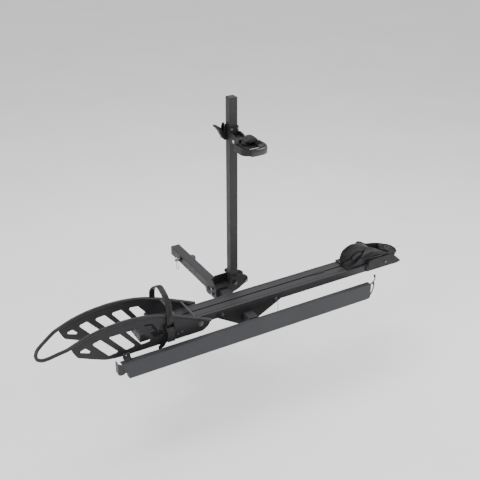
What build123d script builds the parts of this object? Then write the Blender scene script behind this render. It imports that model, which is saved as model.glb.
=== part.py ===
from build123d import *
from math import tan, sin, acos, sqrt, hypot
import os

# Hitch mounted rack for one heavy bicycle, millimetres.
# Frame: origin at the hitch-pin hole on the receiver shank's axis.
# +X runs along the wheel tray towards the rear-wheel holder, +Y runs along the
# shank into the vehicle's receiver, +Z is up.

# ---------------------------------------------------------------- dimensions
SHANK = 50.8                    # 2 in square receiver shank
SHANK_WALL = 6.0
SHANK_IN, SHANK_OUT = 112.0, -343.0
PIN_D, PIN_HOLE = 15.9, 16.5    # 5/8 in hitch pin

PIV_Y, PIV_Z = -333.0, 0.0      # tilt pivot, axis along X
TLK = 15.0                      # tilt lock pin: this far along +Y and +Z from the pivot
YOKE_X, YOKE_T = 31.0, 6.0      # inner face and thickness of the yoke plates

BACK_Y, FRONT_Y, BR_T = -362.0, -412.0, 6.0     # rear faces of the bracket plates
MAST_X, MAST_Y = 70.0, -390.0
MAST_S, MAST_WALL = 40.0, 3.0
MAST_LOW, MAST_TOP = 25.0, 976.0
FOLD_Z, LOCK_Z = 45.0, 70.0     # mast pivot and mast lock pin heights
STOP_X, STOP_Z = 133.0, 39.0    # spacer bolt in the bracket lobes

SPINE_X, SPINE_S, SPINE_END = 8.0, 50.0, -704.0

TRAY_Y, TRAY_W = -588.0, 106.0  # centre line and width of the wheel tray
TRAY_TOP, TRAY_BOT = 75.0, 34.0
TRAY_L, TRAY_R = -530.0, 871.0

BSK_H = 80.0                    # basket plate middle planes, each side of the tray's centre
BSK_T = 5.0
BSK_PX, BSK_PZ = -251.0, 56.0   # basket fold pivot, axis along Y
ROD_R = 8.0                     # basket rim rod
REST_X = -450.0                 # rest tube over the tray

COL_Z0, COL_Z1 = 798.0, 850.0   # mast clamp collar

RAMP_Y = -738.0                 # outer face of the stowed ramp's web
RAMP_LOW, RAMP_TOP = -60.0, 22.0
RAMP_L, RAMP_R = -660.0, 662.0

os.makedirs("parts", exist_ok=True)


def save(p, name):
    p.label = name
    export_step(p, f"parts/{name}.step")


def rounded(pts, radii, closed):
    """Lines and tangent arcs through the points, a radius at each corner."""
    n = len(pts)
    P = [Vector(*p) for p in pts]
    if not isinstance(radii, (list, tuple)):
        radii = [radii] * n
    cuts = []
    for i in range(n):
        if (not closed and i in (0, n - 1)) or radii[i] <= 0:
            cuts.append((P[i], None, P[i]))
            continue
        a, q, b = P[i - 1], P[i], P[(i + 1) % n]
        u, v = (a - q), (b - q)
        lim = 0.49 * min(u.length, v.length)
        u, v = u.normalized(), v.normalized()
        ang = acos(max(-1.0, min(1.0, u.dot(v))))
        if ang > 3.1405:
            cuts.append((q, None, q))
            continue
        d = min(radii[i] / tan(ang / 2), lim)
        r = d * tan(ang / 2)
        w = (u + v).normalized()
        c = q + w * (r / sin(ang / 2))
        cuts.append((q + u * d, c - w * r, q + v * d))
    edges = []
    for i in range(n):
        t1, mid, t2 = cuts[i]
        if mid is not None:
            edges.append(Edge.make_three_point_arc(t1, mid, t2))
        if i == n - 1 and not closed:
            break
        nxt = cuts[(i + 1) % n][0]
        if (nxt - t2).length > 1e-4:
            edges.append(Edge.make_line(t2, nxt))
    return edges


def outline(pts, radii, mode=Mode.ADD):
    """A closed face with rounded corners in the sketch being built."""
    make_face(rounded([(x, y, 0) for x, y in pts], radii, True), mode=mode)


def shifted(pts, d):
    """An open polyline moved sideways by d, positive to the left."""
    out = []
    nrm = []
    for (x0, y0), (x1, y1) in zip(pts, pts[1:]):
        L = hypot(x1 - x0, y1 - y0)
        nrm.append((-(y1 - y0) / L, (x1 - x0) / L))
    for i, (x, y) in enumerate(pts):
        if i == 0:
            nx, ny = nrm[0]
            out.append((x + nx * d, y + ny * d))
        elif i == len(pts) - 1:
            nx, ny = nrm[-1]
            out.append((x + nx * d, y + ny * d))
        else:
            (ax, ay), (bx, by) = nrm[i - 1], nrm[i]
            k = d / (1 + ax * bx + ay * by)
            out.append((x + (ax + bx) * k, y + (ay + by) * k))
    return out


def ribbon_pts(pts, radii, d0, d1, end=0.6):
    """Outline and corner radii of a strip that follows a polyline between two offsets."""
    def rr(d):
        res = [end]
        for i in range(1, len(pts) - 1):
            ax, ay = pts[i][0] - pts[i - 1][0], pts[i][1] - pts[i - 1][1]
            bx, by = pts[i + 1][0] - pts[i][0], pts[i + 1][1] - pts[i][1]
            turn = 1 if ax * by - ay * bx > 0 else -1
            res.append(max(0.5, radii[i] - turn * d))
        return res + [end]
    if not isinstance(radii, (list, tuple)):
        radii = [radii] * len(pts)
    return shifted(pts, d0) + shifted(pts, d1)[::-1], rr(d0) + rr(d1)[::-1]


def ribbon(pts, radii, d0, d1, end=0.6, mode=Mode.ADD):
    p, r = ribbon_pts(pts, radii, d0, d1, end)
    outline(p, r, mode=mode)


def slab(name, plane, amount, pts, radii, holes=()):
    """A flat plate: rounded outline extruded from a plane, with round holes (x, y, radius)."""
    with BuildPart() as s:
        with BuildSketch(plane):
            outline(pts, radii)
            for x, y, r in holes:
                with Locations((x, y)):
                    Circle(r, mode=Mode.SUBTRACT)
        extrude(amount=amount)
    save(s.part, name)


def XZ(y):
    """Sketch plane at Y = y; a positive extrusion goes towards -Y."""
    return Plane.XZ.offset(-y)


# ================================================================ hitch side
with BuildPart() as shank:
    with BuildSketch(XZ(SHANK_IN - 3)):
        RectangleRounded(SHANK, SHANK, 5)
        RectangleRounded(SHANK - 2 * SHANK_WALL, SHANK - 2 * SHANK_WALL, 2, mode=Mode.SUBTRACT)
    extrude(amount=SHANK_IN - 3 - SHANK_OUT)
    with BuildSketch(Plane.YZ.offset(-40)):
        Circle(PIN_HOLE / 2)
        with Locations((PIV_Y, PIV_Z)):
            Circle(8.0)
    extrude(amount=80, mode=Mode.SUBTRACT)
    with BuildSketch(Plane.YZ.offset(10)):
        with Locations((PIV_Y + TLK, PIV_Z + TLK), (PIV_Y + TLK, PIV_Z - TLK)):
            Circle(4.3)
    extrude(amount=30, mode=Mode.SUBTRACT)
    # welded pivot bush and the boss round the pin hole
    with BuildSketch(Plane.YZ.offset(-28.5)):
        with Locations((PIV_Y, PIV_Z)):
            Circle(8.2)
            Circle(6.08, mode=Mode.SUBTRACT)
    extrude(amount=57)
    with BuildSketch(Plane.YZ.offset(-SHANK / 2 + 0.5)):
        Circle(14)
        Circle(PIN_HOLE / 2, mode=Mode.SUBTRACT)
    extrude(amount=-4.5)
save(shank.part, "receiver_shank")

with BuildPart() as plug:
    with BuildSketch(XZ(SHANK_IN)):
        RectangleRounded(SHANK, SHANK, 5)
    extrude(amount=3.0)
    with BuildSketch(XZ(SHANK_IN - 3)):
        RectangleRounded(SHANK - 2 * SHANK_WALL - 0.4, SHANK - 2 * SHANK_WALL - 0.4, 2)
    extrude(amount=14)
save(plug.part, "shank_end_plug")

with BuildPart() as hpin:
    with BuildSketch(Plane(origin=(-55, 0, 0), z_dir=(1, 0, 0))):
        Circle(PIN_D / 2)
    sweep(path=Wire(rounded([(-55, 0, 0), (57, 0, 0), (57, 0, -30)], 15, False)))
    with BuildSketch(Plane.XY.offset(-12)):
        with Locations((-47, 0)):
            Circle(2.4)
    extrude(amount=24, mode=Mode.SUBTRACT)
save(hpin.part, "hitch_pin")

# spring clip: straight leg through the pin, eye below, second leg beside the pin
clip_path = [(-47, 0, 16), (-47, 0, -24), (-47, 9, -36), (-47, 0, -50), (-47, -17, -50), (-47, -25, -36), (-47, -11.2, -22), (-47, -11.2, 2)]
with BuildPart() as clip:
    with BuildSketch(Plane(origin=clip_path[0], z_dir=(0, 0, -1))):
        Circle(2.0)
    sweep(path=Wire(rounded(clip_path, [0, 8, 9, 9, 9, 8, 6, 0], False)))
save(clip.part, "hitch_pin_clip")

# ================================================================ tilt carrier
slab("yoke_plate_left", Plane.YZ.offset(-YOKE_X - YOKE_T), YOKE_T,
     [(-305, -16), (-306, 8), (-316, 23), (-342, 48), (-362, 68), (-380, 62), (-412, 39), (-412, -25), (-352, -26), (-342, -30), (-318, -30)],
     [12, 10, 8, 8, 5, 10, 3, 4, 3, 6, 12], holes=[(PIV_Y, PIV_Z, 6.08)])
LY, LZ = PIV_Y + TLK, PIV_Z + TLK
with BuildPart() as yr:
    with BuildSketch(Plane.YZ.offset(YOKE_X)):
        outline([(-301, -16), (-301, 20), (-316, 34), (-342, 48), (-362, 68), (-362, -25), (-342, -30), (-318, -30)],
                [12, 12, 8, 8, 1, 3, 6, 12])
        with Locations((PIV_Y, PIV_Z)):
            Circle(6.08, mode=Mode.SUBTRACT)
    extrude(amount=YOKE_T)
    with BuildSketch(Plane.YZ.offset(YOKE_X + YOKE_T - 1)):
        with Locations((LY, LZ)):
            Circle(7.5)
    extrude(amount=17)
    with BuildSketch(Plane.YZ.offset(YOKE_X - 1)):
        with Locations((LY, LZ)):
            Circle(4.08)
    extrude(amount=30, mode=Mode.SUBTRACT)
save(yr.part, "yoke_plate_right")

with BuildPart() as block:
    with BuildSketch(Plane.YZ.offset(-YOKE_X)):
        outline([(BACK_Y - BR_T, -25), (BACK_Y - BR_T, 38), (FRONT_Y, 38), (FRONT_Y, -25)], 0.8)
        with Locations(((BACK_Y - BR_T + FRONT_Y) / 2, 6.5)):
            RectangleRounded(32, 50, 4, mode=Mode.SUBTRACT)
    extrude(amount=2 * YOKE_X)
save(block.part, "spine_block")

with BuildPart() as pbolt:
    with BuildSketch(Plane.YZ.offset(-YOKE_X - YOKE_T)):
        with Locations((PIV_Y, PIV_Z)):
            Circle(6.0)
    extrude(amount=2 * (YOKE_X + YOKE_T) + 14)
    with BuildSketch(Plane.YZ.offset(-YOKE_X - YOKE_T)):
        with Locations((PIV_Y, PIV_Z)):
            Circle(12)
    extrude(amount=-2.5)
    with BuildSketch(Plane.YZ.offset(-YOKE_X - YOKE_T - 2.5)):
        with Locations((PIV_Y, PIV_Z)):
            RegularPolygon(10, 6)
    extrude(amount=-7)
    with BuildSketch(Plane.YZ.offset(YOKE_X + YOKE_T)):
        with Locations((PIV_Y, PIV_Z)):
            RegularPolygon(11, 6)
    extrude(amount=10)
save(pbolt.part, "tilt_pivot_bolt")

with BuildPart() as tpin:
    with BuildSketch(Plane.YZ.offset(28)):
        with Locations((LY, LZ)):
            Circle(4.0)
    extrude(amount=YOKE_X + YOKE_T + 16 + 13 - 28)
save(tpin.part, "tilt_lock_pin")
with BuildPart() as tknob:
    with BuildSketch(Plane.YZ.offset(YOKE_X + YOKE_T + 16 + 13)):
        with Locations((LY, LZ)):
            Circle(11)
    extrude(amount=12)
    fillet(tknob.edges().filter_by(GeomType.CIRCLE).group_by(Axis.X)[-1], 3)
save(tknob.part, "tilt_lock_knob")

with BuildPart() as brr:
    with BuildSketch(XZ(BACK_Y)):
        outline([(-31, -25), (-31, 62), (-16, 80), (98, 81), (128, 73), (144, 60), (144, 37), (123, 25), (88, 4), (53, -8), (30, -25)],
                [1, 8, 12, 12, 10, 10, 8, 12, 16, 12, 5])
        with Locations((MAST_X, FOLD_Z)):
            Circle(6.08, mode=Mode.SUBTRACT)
        with Locations((STOP_X, STOP_Z)):
            Circle(5.05, mode=Mode.SUBTRACT)
    extrude(amount=BR_T)
    with BuildSketch(XZ(BACK_Y + 16)):
        with Locations((MAST_X, LOCK_Z)):
            Circle(7.5)
    extrude(amount=17)
    with BuildSketch(XZ(BACK_Y + 20)):
        with Locations((MAST_X, LOCK_Z)):
            Circle(4.08)
    extrude(amount=40, mode=Mode.SUBTRACT)
save(brr.part, "mast_bracket_rear")
slab("mast_bracket_front", XZ(FRONT_Y), BR_T,
     [(-37, -25), (-37, 38), (37, 38), (45, 84), (100, 82), (128, 73), (143, 58), (143, 33), (123, 25), (88, 4), (53, -8), (30, -25)],
     [3, 3, 4, 4, 10, 10, 10, 8, 12, 16, 12, 5],
     holes=[(MAST_X, FOLD_Z, 6.08), (STOP_X, STOP_Z, 5.05)])

with BuildPart() as mpb:
    with BuildSketch(XZ(BACK_Y + 8)):
        with Locations((MAST_X, FOLD_Z)):
            Circle(6.0)
    extrude(amount=8 + 56 + 10)
    with BuildSketch(XZ(BACK_Y + 8)):
        with Locations((MAST_X, FOLD_Z)):
            RegularPolygon(9.5, 6)
    extrude(amount=8)
    with BuildSketch(XZ(FRONT_Y - BR_T)):
        with Locations((MAST_X, FOLD_Z)):
            RegularPolygon(10, 6)
    extrude(amount=8)
    # nylon spacers each side of the mast
    for y0 in (BACK_Y - BR_T - 0.02, MAST_Y - MAST_S / 2 - 0.3):
        with BuildSketch(XZ(y0)):
            with Locations((MAST_X, FOLD_Z)):
                Circle(13)
        extrude(amount=1.68)
save(mpb.part, "mast_pivot_bolt")
with BuildPart() as cbolts:
    with BuildSketch(XZ(BACK_Y + 5)):
        with Locations((STOP_X, STOP_Z)):
            RegularPolygon(8, 6)
    extrude(amount=5)
    with BuildSketch(XZ(BACK_Y)):
        with Locations((STOP_X, STOP_Z)):
            Circle(5.0)
    extrude(amount=56)
    with BuildSketch(XZ(FRONT_Y - BR_T)):
        with Locations((STOP_X, STOP_Z)):
            RegularPolygon(8, 6)
    extrude(amount=5)
    for y, z in ((-383, 24), (-384, -5)):
        with BuildSketch(Plane.YZ.offset(-YOKE_X - YOKE_T)):
            with Locations((y, z)):
                Circle(8)
        extrude(amount=-2)
        with BuildSketch(Plane.YZ.offset(-YOKE_X - YOKE_T - 2)):
            with Locations((y, z)):
                RegularPolygon(7.2, 6)
        extrude(amount=-6)
save(cbolts.part, "carrier_bolts")

with BuildPart() as mlp:
    with BuildSketch(XZ(BACK_Y - 5)):
        with Locations((MAST_X, LOCK_Z)):
            Circle(4.0)
    extrude(amount=-(5 + 16 + 13))
save(mlp.part, "mast_lock_pin")
with BuildPart() as mlk:
    with BuildSketch(XZ(BACK_Y + 16 + 13)):
        with Locations((MAST_X, LOCK_Z)):
            Circle(10)
    extrude(amount=-10)
    fillet(mlk.edges().filter_by(GeomType.CIRCLE).group_by(Axis.Y)[-1], 3)
save(mlk.part, "mast_lock_knob")

with BuildPart() as spine:
    with BuildSketch(XZ(FRONT_Y - BR_T)):
        with Locations((SPINE_X, 0)):
            RectangleRounded(SPINE_S, SPINE_S, 5)
            RectangleRounded(SPINE_S - 8, SPINE_S - 8, 2, mode=Mode.SUBTRACT)
    extrude(amount=FRONT_Y - BR_T - SPINE_END)
save(spine.part, "spine_tube")

with BuildPart() as rbr:
    with BuildSketch(XZ(SPINE_END)):
        with Locations((SPINE_X, -19)):
            RectangleRounded(60, 62, 5)
    extrude(amount=8)
    with BuildSketch(XZ(SPINE_END - 8)):
        with Locations((SPINE_X, -19)):
            RectangleRounded(300, 62, 6)
    extrude(amount=5)
save(rbr.part, "ramp_carrier_bracket")

TRAP = [(-150, 38), (-150, 60), (-143, 66), (181, 66), (188, 60), (188, 38), (150, 19), (54, -30), (-34, -30), (-50, -22)]
for nm, y0 in (("front", TRAY_Y - TRAY_W / 2), ("rear", TRAY_Y + TRAY_W / 2 + 6)):
    with BuildPart() as trap:
        with BuildSketch(XZ(y0)):
            outline(TRAP, [8, 4, 4, 4, 4, 8, 12, 8, 8, 8])
            with Locations((SPINE_X, 0)):
                RectangleRounded(SPINE_S, SPINE_S, 5, mode=Mode.SUBTRACT)
            with Locations((-128, 52), (160, 48)):
                Circle(4.1, mode=Mode.SUBTRACT)
        extrude(amount=6)
    save(trap.part, f"tray_bracket_{nm}")

with BuildPart() as tb:
    for x, z in ((-128, 52), (160, 48)):
        with BuildSketch(XZ(TRAY_Y + TRAY_W / 2 + 12)):
            with Locations((x, z)):
                RegularPolygon(7.5, 6)
        extrude(amount=6)
        with BuildSketch(XZ(TRAY_Y + TRAY_W / 2 + 6)):
            with Locations((x, z)):
                Circle(4.0)
        extrude(amount=TRAY_W + 12)
        with BuildSketch(XZ(TRAY_Y - TRAY_W / 2 - 6)):
            with Locations((x, z)):
                Circle(9)
        extrude(amount=1.6)
        with BuildSketch(XZ(TRAY_Y - TRAY_W / 2 - 7.6)):
            with Locations((x, z)):
                RegularPolygon(6.5, 6)
        extrude(amount=6)
save(tb.part, "tray_bracket_bolts")

hw = TRAY_W / 2
with BuildPart() as tray:
    with BuildSketch(Plane.YZ.offset(TRAY_L)):
        with Locations((TRAY_Y, (TRAY_TOP + TRAY_BOT) / 2)):
            RectangleRounded(TRAY_W, TRAY_TOP - TRAY_BOT, 3.5)
        with Locations((TRAY_Y - 31, (TRAY_TOP + TRAY_BOT) / 2), (TRAY_Y + 31, (TRAY_TOP + TRAY_BOT) / 2)):
            RectangleRounded(37, TRAY_TOP - TRAY_BOT - 6, 2, mode=Mode.SUBTRACT)
        with Locations((TRAY_Y, TRAY_TOP - 4)):
            Rectangle(8, 10, mode=Mode.SUBTRACT)
        with Locations((TRAY_Y, TRAY_TOP - 11.5)):
            Rectangle(17, 8, mode=Mode.SUBTRACT)
        with Locations((TRAY_Y, TRAY_BOT + 11.5)):
            RectangleRounded(17, 16, 2, mode=Mode.SUBTRACT)
        with Locations((TRAY_Y - 40, TRAY_TOP), (TRAY_Y + 40, TRAY_TOP)):
            Rectangle(2.4, 2.4, mode=Mode.SUBTRACT)
    extrude(amount=TRAY_R - TRAY_L)
    with BuildSketch(XZ(TRAY_Y + 80)):
        with Locations((BSK_PX, BSK_PZ)):
            Circle(5.08)
        with Locations((-128, 52), (160, 48)):
            Circle(4.1)
    extrude(amount=160, mode=Mode.SUBTRACT)
save(tray.part, "wheel_tray")

with BuildPart() as capl:
    with BuildSketch(Plane.YZ.offset(TRAY_L)):
        with Locations((TRAY_Y, (TRAY_TOP + TRAY_BOT) / 2)):
            RectangleRounded(TRAY_W, TRAY_TOP - TRAY_BOT, 3.5)
    extrude(amount=-4)
save(capl.part, "tray_end_cap_left")

slab("tray_end_wedge", XZ(TRAY_Y + hw), TRAY_W,
     [(TRAY_R, 31), (TRAY_R, TRAY_TOP), (TRAY_R + 18, TRAY_TOP), (TRAY_R + 54, 41), (TRAY_R + 54, 37), (TRAY_R + 30, 31)],
     [0.5, 0.5, 6, 2, 2, 4])

with BuildPart() as pill:
    with BuildSketch(Plane.XY.offset(TRAY_TOP)):
        with Locations((449, TRAY_Y)):
            SlotOverall(60, 14)
    extrude(amount=3)
    with BuildSketch(Plane.XY.offset(TRAY_TOP - 6)):
        with Locations((449, TRAY_Y)):
            Rectangle(44, 7.6)
    extrude(amount=6)
save(pill.part, "t_slot_stop")

# thin bent wire hook on the bracket bolt, behind the ramp
with BuildPart() as wire:
    wp = [(160, -656, 40), (166, -658, 30), (167, -659, -20), (160, -660, -34), (148, -660, -38)]
    with BuildSketch(Plane(origin=wp[0], z_dir=(6, -2, -10))):
        Circle(1.2)
    sweep(path=Wire(rounded(wp, [0, 8, 8, 8, 0], False)))
save(wire.part, "ramp_wire_hook")

# ================================================================ mast
with BuildPart() as mast:
    with BuildSketch(Plane.XY.offset(MAST_LOW)):
        with Locations((MAST_X, MAST_Y)):
            RectangleRounded(MAST_S, MAST_S, 3)
            RectangleRounded(MAST_S - 2 * MAST_WALL, MAST_S - 2 * MAST_WALL, 1.2, mode=Mode.SUBTRACT)
    extrude(amount=MAST_TOP - MAST_LOW)
    with BuildSketch(XZ(MAST_Y + 30)):
        with Locations((MAST_X, FOLD_Z)):
            Circle(6.08)
    extrude(amount=60, mode=Mode.SUBTRACT)
    with BuildSketch(XZ(MAST_Y + 30)):
        with Locations((MAST_X, LOCK_Z)):
            Circle(4.4)
    extrude(amount=30, mode=Mode.SUBTRACT)
save(mast.part, "mast_tube")

with BuildPart() as mcap:
    with BuildSketch(Plane.XY.offset(MAST_TOP)):
        with Locations((MAST_X, MAST_Y)):
            RectangleRounded(MAST_S, MAST_S, 3)
    extrude(amount=4)
    with BuildSketch(Plane.XY.offset(MAST_TOP)):
        with Locations((MAST_X, MAST_Y)):
            RectangleRounded(MAST_S - 2 * MAST_WALL - 0.4, MAST_S - 2 * MAST_WALL - 0.4, 1)
    extrude(amount=-12)
save(mcap.part, "mast_cap")

# ================================================================ mast clamp
cf = MAST_Y - 26.0      # collar front face
with BuildPart() as collar:
    with BuildSketch(Plane.XY.offset(COL_Z0)):
        with Locations((MAST_X, MAST_Y)):
            RectangleRounded(48, 52, 4)
            RectangleRounded(MAST_S + 0.8, MAST_S + 0.8, 3.2, mode=Mode.SUBTRACT)
    extrude(amount=COL_Z1 - COL_Z0)
save(collar.part, "clamp_collar")

# two ears on the collar's left side carry the cam lever
with BuildPart() as ears:
    for y0 in (-362.0, -388.0):
        with BuildSketch(XZ(y0)):
            outline([(46, 785), (46, 858), (37, 858), (31, 842), (26, 806), (28, 788), (34, 785)], [0.5, 1, 5, 14, 10, 5, 4])
        extrude(amount=4)
    with BuildSketch(XZ(-360.5)):
        with Locations((36, 797)):
            Circle(3.0)
    extrude(amount=33)
save(ears.part, "clamp_cam_ears")
with BuildPart() as cam:
    with BuildSketch(XZ(-366.6)):
        outline([(44.6, 790), (44.6, 804), (36, 812), (26, 828), (10, 850), (-6, 856), (-9, 848), (2, 838), (16, 812), (26, 792), (34, 789)],
                [7, 7, 8, 14, 6, 3, 3, 8, 14, 8, 6])
        with Locations((36, 797)):
            Circle(3.08, mode=Mode.SUBTRACT)
    extrude(amount=20.8)
    # thumb blade, wider than the ears
    with BuildSketch(XZ(-359)):
        outline([(20, 831), (10, 850), (-6, 856), (-9, 848), (2, 838), (13, 821)], [5, 6, 3, 3, 8, 5])
    extrude(amount=36)
save(cam.part, "clamp_cam_lever")

# arm plates: fork from the collar to the head
with BuildPart() as arm:
    for x0, yb, t in ((46.0, -352, 3.4), (90.6, -372, 7.4)):
        with BuildSketch(Plane.YZ.offset(x0)):
            outline([(yb, 780), (yb, 798), (cf, 798), (cf - 0.2, 826), (-444, 824), (-478, 812), (-478, 778), (-440, 777)],
                    [5, 0.5, 0, 3, 18, 4, 3, 20])
            with Locations((-458, 797)):
                Circle(4.1, mode=Mode.SUBTRACT)
        extrude(amount=t)
    with BuildSketch(XZ(cf - 0.2)):
        with Locations((MAST_X, 812)):
            Rectangle(42, 27)
    extrude(amount=8)
    with BuildSketch(Plane.XY.offset(806)):
        with Locations((MAST_X, (cf - 4 - 478) / 2)):
            Rectangle(42, 478 + cf - 4)
    extrude(amount=5)
save(arm.part, "clamp_arm")
with BuildPart() as ab:
    with BuildSketch(Plane.YZ.offset(40)):
        with Locations((-458, 797)):
            Circle(7)
            RegularPolygon(3.6, 6, mode=Mode.SUBTRACT)
    extrude(amount=3)
    with BuildSketch(Plane.YZ.offset(43)):
        with Locations((-458, 797)):
            Circle(7)
    extrude(amount=3)
    with BuildSketch(Plane.YZ.offset(46)):
        with Locations((-458, 797)):
            Circle(4.0)
    extrude(amount=52)
    with BuildSketch(Plane.YZ.offset(98)):
        with Locations((-458, 797)):
            RegularPolygon(7, 6)
    extrude(amount=6)
    for x in (57, 87):
        with BuildSketch(XZ(cf)):
            with Locations((x, 838)):
                Circle(4.5)
                RegularPolygon(2.4, 6, mode=Mode.SUBTRACT)
        extrude(amount=3.5)
save(ab.part, "clamp_arm_bolts")

HOOK = [(50, -489), (30, -489), (29, -560), (56, -580), (128, -580), (146, -560), (145, -489), (94, -489)]
HR = [0, 12, 26, 30, 26, 26, 12, 0]
with BuildPart() as head:
    with BuildSketch(Plane.XY.offset(770)):
        with Locations((MAST_X, -489)):
            RectangleRounded(52, 22, 2)
    extrude(amount=48)
    with BuildSketch(Plane.XY.offset(757)):
        with Locations((56, -486), (84, -486)):
            Circle(5)
    extrude(amount=13)
    with BuildSketch(Plane.XY.offset(768)):
        ribbon(HOOK, HR, -4.5, 4.5)
    extrude(amount=29)
save(head.part, "clamp_hook")
# glossy outer sleeve from the front round to the right side
SLV = [(60, -580), (128, -580), (146, -560), (145.4, -508)]
with BuildPart() as sleeve:
    with BuildSketch(Plane.XY.offset(764)):
        ribbon(SLV, [0, 26, 26, 0], -9.5, -4.55, end=2)
    extrude(amount=35)
save(sleeve.part, "clamp_hook_sleeve")

with BuildPart() as hb:
    with BuildSketch(Plane.XY.offset(798)):
        with Locations((86, -537.1)):
            RectangleRounded(96, 74, 6)
    extrude(amount=5)
    for y0 in (-501.0, -553.0):
        with BuildSketch(XZ(y0)):
            outline([(94, 803), (96, 818), (106, 824), (120, 822), (127, 812), (127, 803)], [0.5, 5, 6, 6, 5, 0.5])
        extrude(amount=4)
    with BuildSketch(XZ(-500)):
        with Locations((113, 813)):
            Circle(3.0)
    extrude(amount=58)
save(hb.part, "clamp_buckle_body")
slab("clamp_ratchet_lever", XZ(-505.6), 46.8,
     [(119, 807), (120, 818), (108, 834), (88, 845), (66, 841), (50, 828), (42, 812), (44, 804), (60, 804), (108, 804.5)],
     [4, 6, 20, 24, 20, 18, 6, 3, 10, 3], holes=[(113, 813, 3.08)])
with BuildPart() as hs:
    with BuildSketch(Plane.YZ.offset(96)):
        ribbon([(-557.4, 808), (-577, 808.5), (-587, 805), (-587, 799.6)], [0, 10, 5, 0], -1.4, 1.4, end=0.5)
    extrude(amount=22)
save(hs.part, "clamp_hook_strap")

# ================================================================ wheel basket
RIMC = [(-200, 60), (-250, 83), (-372, 136.5), (-447, 162.5), (-506, 176), (-562, 182.5), (-618, 184.6), (-682, 180),
        (-729, 174), (-790, 159), (-866, 129)]
LOOP = [(-893, 70, 118), (-936, 54, 98), (-962, 40, 86), (-976, 14, 78)]
half = [(x, TRAY_Y - BSK_H, z) for x, z in RIMC] + [(x, TRAY_Y - y, z) for x, y, z in LOOP]
full = half + [(x, 2 * TRAY_Y - y, z) for x, y, z in half[::-1]]
hr = [0, 250, 500, 400, 400, 400, 400, 400, 400, 300, 60, 120, 90, 40, 30]
with BuildPart() as rod:
    with BuildSketch(Plane(origin=full[0], z_dir=Vector(*full[1]) - Vector(*full[0]))):
        Circle(ROD_R)
    sweep(path=Wire(rounded(full, hr + hr[::-1], False)))
save(rod.part, "basket_rim_rod")

top = shifted(RIMC, ROD_R + 0.1)      # going -X, left is down
top = top[:-1] + [(-850, 126)]
LOW = [(-843, 108), (-836, 94), (-826, 77), (-774, 53), (-710, 25), (-668, 18), (-640, 16), (-240, 16), (-214, 34), (-204, 50)]
WIN = [
    [(-825, 101), (-790, 113), (-752, 72)],
    [(-761, 122), (-722, 132), (-643, 42), (-690, 37)],
    [(-688, 133), (-640, 138), (-566, 46), (-611, 40)],
    [(-611, 138), (-562, 141), (-492, 47), (-539, 43)],
    [(-531, 141), (-481, 133), (-426, 62), (-474, 56)],
]
for nm, y0 in (("near", TRAY_Y - BSK_H + BSK_T / 2), ("far", TRAY_Y + BSK_H + BSK_T / 2)):
    with BuildPart() as bp:
        with BuildSketch(XZ(y0)):
            outline(top + LOW, [3] + [400] * (len(top) - 2) + [5] + [14, 14, 12, 60, 60, 40, 30, 18, 14, 6])
            for w in WIN:
                outline(w, 7, mode=Mode.SUBTRACT)
            with Locations((BSK_PX, BSK_PZ)):
                Circle(5.08, mode=Mode.SUBTRACT)
        extrude(amount=BSK_T)
    save(bp.part, f"basket_plate_{nm}")

inner = BSK_H - BSK_T / 2
with BuildPart() as xb:
    for x, z in ((-273, 93.1), (-374, 137)):
        with BuildSketch(XZ(TRAY_Y + 71.8)):
            with Locations(Location((x, z), -24)):
                RectangleRounded(14, 6, 2.5)
        extrude(amount=2 * 71.8)
    # rest tube that lies on the tray
    with BuildSketch(XZ(TRAY_Y + inner)):
        with Locations((REST_X, TRAY_TOP + 0.5 + 8)):
            Circle(8)
            Circle(5.5, mode=Mode.SUBTRACT)
    extrude(amount=2 * inner)
save(xb.part, "basket_cross_bars")

with BuildPart() as bpb:
    with BuildSketch(XZ(TRAY_Y + BSK_H + BSK_T / 2 + 8)):
        with Locations((BSK_PX, BSK_PZ)):
            RegularPolygon(9, 6)
    extrude(amount=7.6)
    with BuildSketch(XZ(TRAY_Y + BSK_H + BSK_T / 2 + 0.4)):
        with Locations((BSK_PX, BSK_PZ)):
            Circle(5.0)
    extrude(amount=2 * BSK_H + BSK_T + 0.8)
    with BuildSketch(XZ(TRAY_Y - BSK_H - BSK_T / 2 - 0.4)):
        with Locations((BSK_PX, BSK_PZ)):
            Circle(14)
    extrude(amount=2)
    with BuildSketch(XZ(TRAY_Y - BSK_H - BSK_T / 2 - 2.4)):
        with Locations((BSK_PX, BSK_PZ)):
            RegularPolygon(9, 6)
    extrude(amount=7)
    # spacers between the tray and the plates
    for y0 in (TRAY_Y + inner - 0.4, TRAY_Y - hw - 0.02):
        with BuildSketch(XZ(y0)):
            with Locations((BSK_PX, BSK_PZ)):
                Circle(13)
        extrude(amount=inner - hw - 0.42)
save(bpb.part, "basket_pivot_bolt")

with BuildPart() as bb:
    for x, z in ((-364, 43), (-346, 48)):
        for y0 in (TRAY_Y - BSK_H - BSK_T / 2, TRAY_Y + BSK_H + BSK_T / 2 + 4):
            with BuildSketch(XZ(y0)):
                with Locations((x, z)):
                    Circle(6)
                    RegularPolygon(3, 6, mode=Mode.SUBTRACT)
            extrude(amount=4)
save(bb.part, "basket_plate_bolts")

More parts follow.
